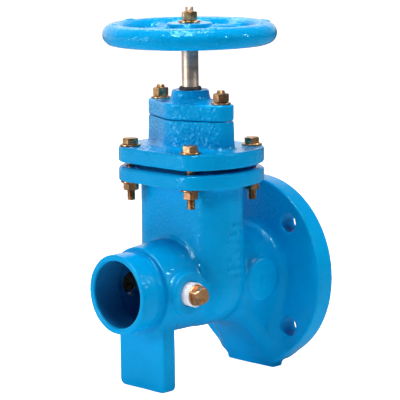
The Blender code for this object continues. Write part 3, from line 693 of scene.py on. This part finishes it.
def gland_stud(name, node, material):
    """A stud that is plain in the bonnet and threaded above it."""
    low, high = node_box(node)
    plain = [(SHANK_R - 0.7, low[2]), (SHANK_R, low[2] + 0.7), (SHANK_R, low[2] + 18)]
    bm = thread(plain, low[2] + 18.5, high[2])
    piece = move_to(add_piece(name, bm), low, high)
    return finish_piece(piece, node, body_of(node), material)


def make_fasteners(zinc):
    for number, (head_turn, nut_turn) in enumerate(zip(HEAD_TURNS, NUT_TURNS), 1):
        head_turn, nut_turn = math.radians(head_turn), math.radians(nut_turn)
        bonnet_bolt(f"bonnet_screw_{number}", f"bonnet_bolt_{number}", head_turn, zinc)
        nut(f"bonnet_hex_nut_{number}", f"bonnet_nut_{number}", nut_turn, zinc)
        washer(f"bonnet_upper_washer_{number}", f"bonnet_bolt_washer_{number}", zinc)
        washer(f"bonnet_lower_washer_{number}", f"bonnet_nut_washer_{number}", zinc)
    for number, turn in enumerate(GLAND_NUT_TURNS, 1):
        gland_stud(f"gland_threaded_stud_{number}", f"gland_stud_{number}", zinc)
        nut(f"gland_hex_nut_{number}", f"gland_nut_{number}", math.radians(turn), zinc)
        washer(f"gland_flat_washer_{number}", f"gland_washer_{number}", zinc)
    nut("handwheel_hex_nut", "handwheel_nut", math.radians(WHEEL_NUT_TURN), zinc)
    washer("handwheel_flat_washer", "handwheel_washer", zinc)


def make_stem(steel):
    """The stem: a turned rod with a collar, a square for the handwheel and a threaded tip."""
    low, high = node_box("stem")
    turned = [
        (0, low[2]),
        (STEM_R - 0.9, low[2]),
        (STEM_R, low[2] + 0.9),
        (STEM_R, COLLAR_LOW),
        (COLLAR_R - 0.4, COLLAR_LOW),
        (COLLAR_R, COLLAR_LOW + 0.4),
        (COLLAR_R, COLLAR_TOP - 0.4),
        (COLLAR_R - 0.4, COLLAR_TOP),
        (STEM_R, COLLAR_TOP),
        (STEM_R, WHEEL_SEAT - 1.0),
        (STEM_R - 0.3, WHEEL_SEAT - 0.3),
        (STEM_R - 1.0, WHEEL_SEAT),
        (0, WHEEL_SEAT),
    ]
    stem = add_piece("stem_rod", lathe(turned, 96))
    square = add_piece("square", prism(regular(4, SQUARE_FLATS), WHEEL_SEAT - 4, SQUARE_TOP))
    soften(square, 0.5)
    join(stem, square)
    root = [(SHANK_R - 0.6, 327), (SHANK_R, 327.6), (SHANK_R, SQUARE_TOP + 0.2)]
    join(stem, add_piece("tip", thread(root, SQUARE_TOP + 0.6, high[2])))
    finish_piece(stem, "stem", "stem", steel)


def at_boss(piece, side):
    """Turns a piece built along +Z, z being how far it is from the middle plane, onto a boss."""
    turned = Matrix.Rotation(math.radians(90 if side < 0 else -90), 4, "X")
    moved = Matrix.Translation((-BOSS_X * MM, 0, PIPE_Z * MM))
    piece.data.transform(moved @ turned)
    return piece


def square_head(low, high):
    """The plug's square: rounded corners that a dome cuts further at the end."""
    dome = (
        (low, PLUG_R),
        (high - 4, 9.2),
        (high - 1.8, 8.7),
        (high - 0.8, 8.1),
        (high - 0.3, 7.5),
        (high, 6.8),
    )

    def section(z, limit):
        """The square softly limited to a radius."""

        def ring(angle):
            square = polygon_radius(4, PLUG_FLATS, angle, PLUG_R)
            return (square**-20 + (limit + 0.2) ** -20) ** (-1 / 20), z

        return ring

    rings = [section(z, limit) for z, limit in dome] + [circle(5.5, high + 0.1)]
    bm = ringed(rings, False, 96)
    turned = Matrix.Rotation(math.radians(PLUG_TURN), 3, "Z")
    bmesh.ops.rotate(bm, verts=bm.verts, matrix=turned)
    return add_piece("square", bm)


def make_plugs(brass, tape):
    for number in (1, 2):
        low, high = node_box(f"drain_plug_{number}")
        side = -1 if low[1] + high[1] < 0 else 1
        inner, outer = sorted((abs(low[1]), abs(high[1])))
        collar = outer - PLUG_SQUARE_LENGTH
        turned = [
            (0, inner),
            (8.6, inner),
            (PLUG_R - 0.1, inner + 0.8),
            (PLUG_R, collar),
            (PLUG_R - 0.2, collar + 0.7),
            (8.6, collar + 1.3),
            (0, collar + 1.3),
        ]
        plug = add_piece(f"pipe_plug_{number}", lathe(turned, 72))
        join(plug, square_head(collar - 1, outer))
        finish_piece(at_boss(plug, side), f"drain_plug_{number}", "valve_body", brass)
        wrapped = at_boss(tape_winding(f"wound_tape_{number}", number), side)
        finish_piece(wrapped, f"thread_tape_{number}", "valve_body", tape)


def tape_winding(name, seed):
    """Thread-seal tape wound round the plug: wrinkled overlapping turns with a ragged edge."""
    low, high = node_box("thread_tape_1")
    near, far = sorted((abs(low[1]), abs(high[1])))
    outer = (high[0] - low[0]) / 2
    inner = PLUG_R + 0.3
    around, rows = 96, 40
    angles = math.tau * np.arange(around) / around
    bm = bmesh.new()

    def loop(radii, heights):
        places = zip(radii * np.cos(angles), radii * np.sin(angles), heights)
        return [bm.verts.new(place) for place in places]

    loops = []
    for row in range(rows + 1):
        z = near + (far - near) * row / rows
        turn = (z / 3.4 - angles / math.tau) % 1
        spots = np.stack([outer * np.cos(angles), outer * np.sin(angles), np.full(around, z)], 1)
        crease = lattice_noise(spots * (1, 1, 1.6), 2.2, seed)
        radii = outer - 0.34 + 0.16 * turn + 0.16 * crease
        fray = 0.25 * lattice_noise(spots, 1.3, seed + 7) * (row == rows)
        ends = 0.25 * (row in (0, rows))
        loops.append(loop(radii - ends, z - np.abs(fray)))
    loops += [loop(np.full(around, inner), np.full(around, z)) for z in (far, near)]
    stitch(bm, loops, True)
    return add_piece(name, bm)


def make_wiper(rubber):
    low, high = node_box("wiper_ring")
    outer = (high[0] - low[0]) / 2
    inner = STEM_R + 0.3
    profile = [
        (inner, low[2]),
        (outer, low[2]),
        (outer, HUB_TOP + 0.5),
        (outer - 0.1, HUB_TOP + 1.2),
        (outer - 0.35, high[2] - 0.8),
        (outer - 0.8, high[2] - 0.2),
        (outer - 1.3, high[2]),
        (inner + 0.3, high[2] - 0.1),
        (inner, high[2] - 0.5),
    ]
    wiper = add_piece("stem_wiper", lathe(profile, 96))
    finish_piece(wiper, "wiper_ring", "valve_body", rubber)


# ---- castings


def cast_skin(points):
    """The slight unevenness of a coated casting."""
    return 0.10 * lattice_noise(points, 9, 3) + 0.035 * lattice_noise(points, 3.5, 4)


def smooth(values, low, high):
    """Rises smoothly from 0 at low to 1 at high."""
    t = np.clip((values - low) / (high - low), 0, 1)
    return t * t * (3 - 2 * t)


def bump_at(values, width):
    """1 at 0, falling to nothing within about twice the width."""
    return np.exp(-((values / width) ** 2))


def pebbles(points, size, seed):
    """Rounded grains on a flat ground, from 0 to 1."""
    return smooth(lattice_noise(points, size, seed), -0.05, 0.55)


def body_skin(points, normals):
    """Unevenness, parting flash, the bead where the run meets the chest, dimples and pips."""
    x, y, z = points.T
    h = z - PIPE_Z
    skin = cast_skin(points)

    in_dimple = 1 - smooth(length(x - BOSS_X, h), 3.2, 4.4)
    dimple = smooth(np.abs(y), BOSS_Y - 3, BOSS_Y - 1) * in_dimple

    broken = 0.6 + 0.4 * lattice_noise(points, 14, 11)
    outside = smooth(length(y, h), BORE_R + 3, BORE_R + 5) * (1 - dimple)
    off_faces = 1 - smooth(np.abs(normals[:, 0]), 0.7, 0.9)
    skin += 0.4 * bump_at(h, 1.0) * broken * outside * off_faces

    near_run, near_chest = run_field(x, length(y, h)), chest_field(x, y, h)
    bead = bump_at(near_run - 1.3, 1.4) * bump_at(near_chest - 1.3, 1.4) * smooth(h, -25, 0)
    skin += bead * (0.7 + 1.0 * lattice_noise(points, 4.5, 12))

    top_edge = smooth(z, RIM_TOP - 5, RIM_TOP - 2) * smooth(length(x, y), 48, 52)
    skin += 0.16 * top_edge * pebbles(points, 3.0, 13)

    face = smooth(-normals[:, 1], 0.75, 0.9) * smooth(-y, CHEST_Y - 7, CHEST_Y - 4)
    in_rows = smooth(z, 97, 98) * (1 - smooth(z, 152, 153))
    rows = bump_at(np.mod(z - 97, 8.0) - 4.0, 1.8) * in_rows
    from_bar = np.maximum(np.abs(np.mod(x + 9, 7.0) - 3.5) - 1.2, 0)
    bars = bump_at(from_bar, 0.9) * (1 - smooth(np.abs(x - 1.5), 9, 10))
    kept = smooth(lattice_noise(points * (1, 0, 1), 6.5, 17), -0.35, -0.15)
    return skin + 1.3 * face * rows * bars * kept - 0.8 * dimple


def tower_skin(points, normals):
    """Unevenness, with hammered grains on one flank of the tower, and on the flange round it."""
    x, _, z = points.T
    leftwards = -0.92 * normals[:, 0] - 0.39 * normals[:, 1]
    flank = smooth(leftwards, 0.86, 0.95) * smooth(z, 221, 224)
    upwards = smooth(normals[:, 2], 0.8, 0.95)
    flange = upwards * (1 - smooth(z, 220, 224)) * smooth(-x, 24, 30)
    top = np.maximum(flange, 0.5 * upwards * smooth(z, 240, 243))
    grains = 0.65 * flank * pebbles(points, 2.2, 21)
    return cast_skin(points) + grains + 0.4 * top * pebbles(points, 2.0, 22)


def wheel_skin(points, normals):
    """Unevenness, and raised dashes on the rim."""
    x, y, z = points.T
    skin = cast_skin(points)
    turn = np.degrees(np.arctan2(y, x))
    tilt = np.degrees(np.arctan2(z - WHEEL_Z, length(x, y) - (WHEEL_R - TUBE_R)))
    for middle, half, high in RIM_MARKS:
        along = (turn - middle + 180) % 360 - 180
        ends = 1 - smooth(np.abs(along), half, half + 0.8)
        skin = skin + 0.8 * ends * (1 - smooth(np.abs(tilt - high), 9, 15))
    return skin


def make_castings(smooth_blue, rough_blue):
    edge = 2.0
    # Node, field, lowest and highest corner, grid step, most faces, relief and paint
    pieces = (
        ("body", body_field, BODY_LOW, BODY_HIGH, 1.0, 190_000, body_skin, smooth_blue),
        ("bonnet", bonnet_field, BONNET_LOW, BONNET_HIGH, 0.7, 150_000, tower_skin, rough_blue),
        ("gland_plate", plate_field, PLATE_LOW, PLATE_HIGH, 0.6, 110_000, tower_skin, rough_blue),
        ("handwheel", wheel_field, WHEEL_LOW, WHEEL_HIGH, 0.9, 130_000, wheel_skin, rough_blue),
    )
    for node, field, low, high, step, most_faces, relief, blue in pieces:
        box = low - edge, high + edge
        piece = casting(f"{node}_casting", field, *box, step, most_faces, relief)
        finish_piece(piece, node, body_of(node), blue)


# ---- materials


class Nodes:
    """A node tree with a few shortcuts."""

    def __init__(self, tree):
        self.tree = tree

    def add(self, kind, **settings):
        node = self.tree.nodes.new(kind)
        for name, value in settings.items():
            setattr(node, name, value)
        return node

    def wire(self, source, target):
        self.tree.links.new(source, target)

    def math(self, operation, *values):
        """The operation on values, each a number or a socket."""
        node = self.add("ShaderNodeMath", operation=operation)
        for socket, value in zip(node.inputs, values):
            if isinstance(value, (int, float)):
                socket.default_value = value
            else:
                self.wire(value, socket)
        return node.outputs["Value"]

    def dot(self, source, direction):
        node = self.add("ShaderNodeVectorMath", operation="DOT_PRODUCT")
        node.inputs[1].default_value = direction
        self.wire(source, node.inputs[0])
        return node.outputs["Value"]

    def span(self, source, low, high, start=0.3, end=0.7):
        """From low to high as the source goes from start to end."""
        node = self.add("ShaderNodeMapRange")
        node.inputs["From Min"].default_value = start
        node.inputs["From Max"].default_value = end
        node.inputs["To Min"].default_value = low
        node.inputs["To Max"].default_value = high
        self.wire(source, node.inputs["Value"])
        return node.outputs["Result"]


class Shader(Nodes):
    """A Principled material. Its spot is the place on the object, in metres."""

    def __init__(self, name, colour, roughness, metallic=0.0):
        self.material = bpy.data.materials.new(name)
        self.material.use_nodes = True
        super().__init__(self.material.node_tree)
        self.shader = self.tree.nodes["Principled BSDF"]
        self.set("Base Color", (*colour, 1))
        self.set("Roughness", roughness)
        self.set("Metallic", metallic)
        self.material.diffuse_color = (*colour, 1)
        self.spot = self.add("ShaderNodeTexCoord").outputs["Object"]

    def set(self, name, value):
        self.shader.inputs[name].default_value = value

    def noise(self, scale, detail=2.0, rough=0.5, stretch=None):
        node = self.add("ShaderNodeTexNoise")
        node.inputs["Scale"].default_value = scale
        node.inputs["Detail"].default_value = detail
        node.inputs["Roughness"].default_value = rough
        if stretch is None:
            self.wire(self.spot, node.inputs["Vector"])
        else:
            mapping = self.add("ShaderNodeMapping")
            mapping.inputs["Scale"].default_value = stretch
            self.wire(self.spot, mapping.inputs["Vector"])
            self.wire(mapping.outputs["Vector"], node.inputs["Vector"])
        return node.outputs["Fac"]

    def ramp(self, source, *stops):
        node = self.add("ShaderNodeValToRGB")
        elements = node.color_ramp.elements
        while len(elements) < len(stops):
            elements.new(0.5)
        for element, (position, colour) in zip(elements, stops):
            element.position = position
            element.color = (*colour, 1) if len(colour) == 3 else colour
        self.wire(source, node.inputs["Fac"])
        return node.outputs["Color"]

    def bump(self, *layers):
        """Layers of (height source, strength, distance in metres)."""
        normal = None
        for source, strength, distance in layers:
            node = self.add("ShaderNodeBump")
            node.inputs["Strength"].default_value = strength
            node.inputs["Distance"].default_value = distance
            self.wire(source, node.inputs["Height"])
            if normal is not None:
                self.wire(normal, node.inputs["Normal"])
            normal = node.outputs["Normal"]
        self.wire(normal, self.shader.inputs["Normal"])

    def mix(self, share, first, second):
        """From the source first to the plain colour second."""
        node = self.add("ShaderNodeMix", data_type="RGBA")
        self.wire(share, node.inputs["Factor"])
        self.wire(first, node.inputs[6])
        node.inputs[7].default_value = (*second, 1)
        return node.outputs[2]

    def painted_bore_shade(self):
        """1 on the walls of the waterway, where shade is painted into the colour, and 0 elsewhere.
        """
        split = self.add("ShaderNodeSeparateXYZ")
        self.wire(self.spot, split.inputs["Vector"])
        x, y, z = (split.outputs[axis] for axis in "XYZ")
        height = self.math("SUBTRACT", z, PIPE_Z * MM)
        squares = self.math("MULTIPLY", y, y), self.math("MULTIPLY", height, height)
        radius = self.math("SQRT", self.math("ADD", *squares))
        in_radius = self.span(radius, 1.0, 0.0, (BORE_R + 2.2) * MM, (BORE_R + 2.6) * MM)
        far = self.math("ABSOLUTE", x)
        in_length = self.span(far, 1.0, 0.0, (HALF_LENGTH - 3) * MM, (HALF_LENGTH - 1) * MM)
        return self.math("MULTIPLY", in_radius, in_length)

    def colour(self, source):
        self.wire(source, self.shader.inputs["Base Color"])

    def rough(self, source):
        self.wire(source, self.shader.inputs["Roughness"])


def epoxy(name, peel):
    """Glossy fusion-bonded epoxy; peel is how strong its orange peel is."""
    paint = Shader(name, (0.0, 0.34, 0.72), 0.1)
    darker, lighter = (0.0, 0.33, 0.72), (0.0, 0.365, 0.78)
    coat = paint.ramp(paint.noise(26, 4), (0.35, darker), (0.65, lighter))
    # Painted shade: the waterway's walls are mixed towards dark navy so that the inside of the bore
    # looks unlit.
    paint.colour(paint.mix(paint.painted_bore_shade(), coat, (0.01, 0.17, 0.43)))
    paint.rough(paint.span(paint.noise(60, 3), 0.05, 0.12))
    paint.set("Specular IOR Level", 0.28)
    paint.set("Specular Tint", (0.35, 0.85, 1.0, 1))
    paint.bump((paint.noise(360, 1.0), peel, 0.0012), (paint.noise(900, 1.5), 0.3, 0.0003))
    return paint.material


def plain_finish(name, base, tone, stops, gloss, gloss_range, grain, bump):
    """A finish whose colour, roughness and bump each follow a noise of their own.

    base is the average colour, roughness and metallic. tone, gloss and grain are the arguments of
    the three noises, stops is the colour ramp, and bump is the strength and the distance in metres.
    """
    made = Shader(name, *base)
    made.colour(made.ramp(made.noise(*tone), *stops))
    made.rough(made.span(made.noise(*gloss), *gloss_range))
    made.bump((made.noise(*grain), *bump))
    return made.material


def make_materials():
    """A material for each slot, by the slot's name."""
    return {
        "blue_epoxy": epoxy("blue epoxy", 0.4),
        "yellow_zinc": plain_finish(
            "yellow zinc",
            base=((0.5, 0.3, 0.15), 0.3, 1.0),
            tone=(90, 2, 0.5),
            stops=(
                (0.3, (0.33, 0.16, 0.06)),
                (0.45, (0.60, 0.39, 0.19)),
                (0.58, (0.46, 0.21, 0.12)),
                (0.7, (0.29, 0.27, 0.13)),
            ),
            gloss=(300, 3),
            gloss_range=(0.22, 0.36),
            grain=(900, 3),
            bump=(0.12, 0.0002),
        ),
        "stainless_steel": plain_finish(
            "stainless steel",
            base=((0.45, 0.39, 0.34), 0.42, 1.0),
            tone=(40, 3, 0.6, (1, 1, 6)),
            stops=((0.35, (0.54, 0.42, 0.33)), (0.65, (0.70, 0.57, 0.46))),
            gloss=(60, 4, 0.6, (1, 1, 30)),
            gloss_range=(0.38, 0.5),
            grain=(60, 2, 0.5, (0.5, 0.5, 40)),
            bump=(0.15, 0.0001),
        ),
        "black_rubber": plain_finish(
            "black rubber",
            base=((0.018, 0.018, 0.02), 0.55),
            tone=(90, 3),
            stops=((0.35, (0.012, 0.012, 0.014)), (0.7, (0.028, 0.028, 0.03))),
            gloss=(220, 2),
            gloss_range=(0.48, 0.68),
            grain=(900, 2),
            bump=(0.15, 0.0002),
        ),
        "white_polymer": plain_finish(
            "white polymer",
            base=((0.74, 0.73, 0.69), 0.45),
            tone=(60, 2),
            stops=((0.35, (0.70, 0.69, 0.64)), (0.7, (0.77, 0.76, 0.72))),
            gloss=(150, 2),
            gloss_range=(0.38, 0.52),
            grain=(700, 2),
            bump=(0.1, 0.0002),
        ),
        "brass": plain_finish(
            "brass",
            base=((0.62, 0.32, 0.14), 0.38, 1.0),
            tone=(170, 4, 0.65),
            stops=(
                (0.3, (0.36, 0.14, 0.05)),
                (0.48, (0.66, 0.33, 0.15)),
                (0.7, (0.80, 0.47, 0.26)),
            ),
            gloss=(240, 3),
            gloss_range=(0.28, 0.5),
            grain=(420, 3, 0.6),
            bump=(0.5, 0.0006),
        ),
        "white_tape": plain_finish(
            "seal tape",
            base=((0.9, 0.9, 0.92), 0.55),
            tone=(160, 3),
            stops=((0.3, (0.84, 0.84, 0.86)), (0.65, (0.95, 0.95, 0.97))),
            gloss=(200, 2),
            gloss_range=(0.45, 0.65),
            grain=(500, 3, 0.6, (1, 3, 1)),
            bump=(0.4, 0.0004),
        ),
        "ductile_iron": plain_finish(
            "ductile iron",
            base=((0.12, 0.12, 0.13), 0.6, 0.8),
            tone=(120, 4),
            stops=((0.3, (0.08, 0.08, 0.085)), (0.7, (0.16, 0.16, 0.17))),
            gloss=(200, 3),
            gloss_range=(0.5, 0.75),
            grain=(700, 3),
            bump=(0.5, 0.0005),
        ),
    }


def dress_inner_nodes(materials):
    """The CAD nodes that stay as they are get the finish of their material slot."""
    slots = {row["node"]: row["material_slot"] for row in frame["record"]["subparts"]}
    for name, node in frame["nodes"].items():
        if not node.hide_render:
            node.data.materials.clear()
            node.data.materials.append(materials[slots[name]])


# ---- studio


# The camera looks along a line through the middle of the pipe, shifted right and up in metres
AZIMUTH = math.radians(-43.79)
ELEVATION = math.radians(9.35)
ROLL = math.radians(-0.71)
DISTANCE = 2.0
SHIFT_RIGHT, SHIFT_UP = 0.00671, 0.07392
LENS = 193.63

FLOOR_HALF, FLOOR_DROP = 40.0, 0.0004
FLOOR_TONE, FLOOR_TONE_MIRRORED = 0.8, 0.28
FLOOR_GLOW_SEEN, FLOOR_GLOW_BOUNCED = 1.1, 0.26
# Reflections see the far floor glow, from here on in metres behind the valve and to its left
FAR_FLOOR, FAR_START, FAR_FULL = (-0.8, 1, 0), 1.5, 1.9
# Reflections see a bright screen in this direction, over these cosines, and a dim room elsewhere
SCREEN, SCREEN_START, SCREEN_FULL = (0.45, 0.88, 0.15), 0.6, 0.9
ROOM_GLOW, SCREEN_GLOW = 0.14, 1.05
LAMP_AIM = Vector((0, 0, 0.18))
# Name, azimuth and elevation in degrees, distance, width and height in metres, watts, seen by
LAMPS = (
    ("top", -44, 85, 1.6, 0.6, 0.6, 25.0, "both"),
    ("left", -110, 10, 1.8, 0.5, 0.8, 14.0, "both"),
    ("upper left", -110, 45, 1.8, 0.5, 0.5, 1.5, "both"),
    ("front", -10, 45, 1.8, 0.5, 0.5, 2.8, "diffuse"),
    ("right", 30, 45, 1.8, 0.5, 0.5, 8.0, "diffuse"),
    ("back", 150, 45, 1.8, 0.6, 0.6, 3.9, "both"),
    ("low back", 150, 12, 1.8, 0.6, 0.6, 2.5, "diffuse"),
    ("glint", -55, 55, 1.8, 0.6, 0.4, 40.0, "glossy"),
    ("small glint", 28, 27, 1.8, 0.25, 0.25, 12.0, "glossy"),
)


def axes_towards(azimuth, elevation):
    """Back, right and up of a camera that looks at the origin from that side."""
    ce, se = math.cos(elevation), math.sin(elevation)
    back = Vector((math.sin(azimuth) * ce, -math.cos(azimuth) * ce, se))
    right = Vector((math.cos(azimuth), math.sin(azimuth), 0))
    return back, right, back.cross(right)


def make_camera():
    back, level_right, level_up = axes_towards(AZIMUTH, ELEVATION)
    right = level_right * math.cos(ROLL) + level_up * math.sin(ROLL)
    up = back.cross(right)
    camera = bpy.data.objects.new("camera", bpy.data.cameras.new("camera"))
    bpy.context.scene.collection.objects.link(camera)
    camera.data.lens = LENS
    camera.data.sensor_width = 36
    camera.data.clip_end = 100
    turned = Matrix((right, up, back)).transposed().to_4x4()
    aim = Vector((0, 0, PIPE_Z * MM))
    at = aim + back * DISTANCE + right * SHIFT_RIGHT + up * SHIFT_UP
    camera.matrix_world = Matrix.Translation(at) @ turned
    bpy.context.scene.camera = camera


def softbox(name, azimuth, elevation, distance, width, height, power, seen_by):
    """A rectangular lamp; seen_by is "both", "diffuse" or "glossy"."""
    back, _, _ = axes_towards(math.radians(azimuth), math.radians(elevation))
    light = bpy.data.lights.new(name, "AREA")
    light.shape = "RECTANGLE"
    light.size, light.size_y = width, height
    light.energy = power
    lamp = bpy.data.objects.new(name, light)
    bpy.context.scene.collection.objects.link(lamp)
    lamp.location = LAMP_AIM + back * distance
    lamp.rotation_euler = back.to_track_quat("Z", "Y").to_euler()
    lamp.visible_glossy = seen_by != "diffuse"
    lamp.visible_diffuse = seen_by != "glossy"


def make_floor():
    """A pale floor that looks brighter to the camera than it is to the valve's reflections."""
    bm = bmesh.new()
    bmesh.ops.create_grid(bm, x_segments=4, y_segments=4, size=FLOOR_HALF)
    mesh = bpy.data.meshes.new("floor")
    bm.to_mesh(mesh)
    bm.free()
    floor = bpy.data.objects.new("floor", mesh)
    bpy.context.scene.collection.objects.link(floor)
    floor.location.z = -FLOOR_DROP

    pale = Shader("pale floor", (FLOOR_TONE,) * 3, 0.9)
    pale.set("Emission Color", (1, 1, 1, 1))
    seen = pale.add("ShaderNodeLightPath").outputs
    pale.colour(pale.span(seen["Is Glossy Ray"], FLOOR_TONE, FLOOR_TONE_MIRRORED, 0, 1))
    far = pale.span(pale.dot(pale.spot, FAR_FLOOR), 0, 1, FAR_START, FAR_FULL)
    mirrored = pale.math("MULTIPLY", far, seen["Is Glossy Ray"])
    bounced = pale.math("MULTIPLY_ADD", seen["Is Diffuse Ray"], FLOOR_GLOW_BOUNCED, mirrored)
    glow = pale.math("MULTIPLY_ADD", seen["Is Camera Ray"], FLOOR_GLOW_SEEN, bounced)
    pale.wire(glow, pale.shader.inputs["Emission Strength"])
    mesh.materials.append(pale.material)


def make_world():
    """White to the camera, dark to diffuse rays, and to reflections a bright screen on one side."""
    world = bpy.data.worlds.new("studio")
    bpy.context.scene.world = world
    world.use_nodes = True
    sky = Nodes(world.node_tree)
    backdrop = sky.tree.nodes["Background"]
    backdrop.inputs["Color"].default_value = (1, 1, 1, 1)
    seen = sky.add("ShaderNodeLightPath").outputs
    direction = sky.add("ShaderNodeTexCoord").outputs["Generated"]
    towards = sky.dot(direction, SCREEN)
    screen = sky.span(towards, ROOM_GLOW, SCREEN_GLOW, SCREEN_START, SCREEN_FULL)
    mirrored = sky.math("MULTIPLY", screen, seen["Is Glossy Ray"])
    strength = sky.math("MAXIMUM", mirrored, seen["Is Camera Ray"])
    sky.wire(strength, backdrop.inputs["Strength"])


def make_studio():
    make_floor()
    make_world()
    for lamp in LAMPS:
        softbox(*lamp)
    bpy.context.scene.view_settings.view_transform = "Standard"


def main():
    make_camera()
    make_studio()
    materials = make_materials()
    make_castings(materials["blue_epoxy"], epoxy("blue epoxy on a rough casting", 0.6))
    make_fasteners(materials["yellow_zinc"])
    make_stem(materials["stainless_steel"])
    make_plugs(materials["brass"], materials["white_tape"])
    make_wiper(materials["black_rubber"])
    dress_inner_nodes(materials)


main()
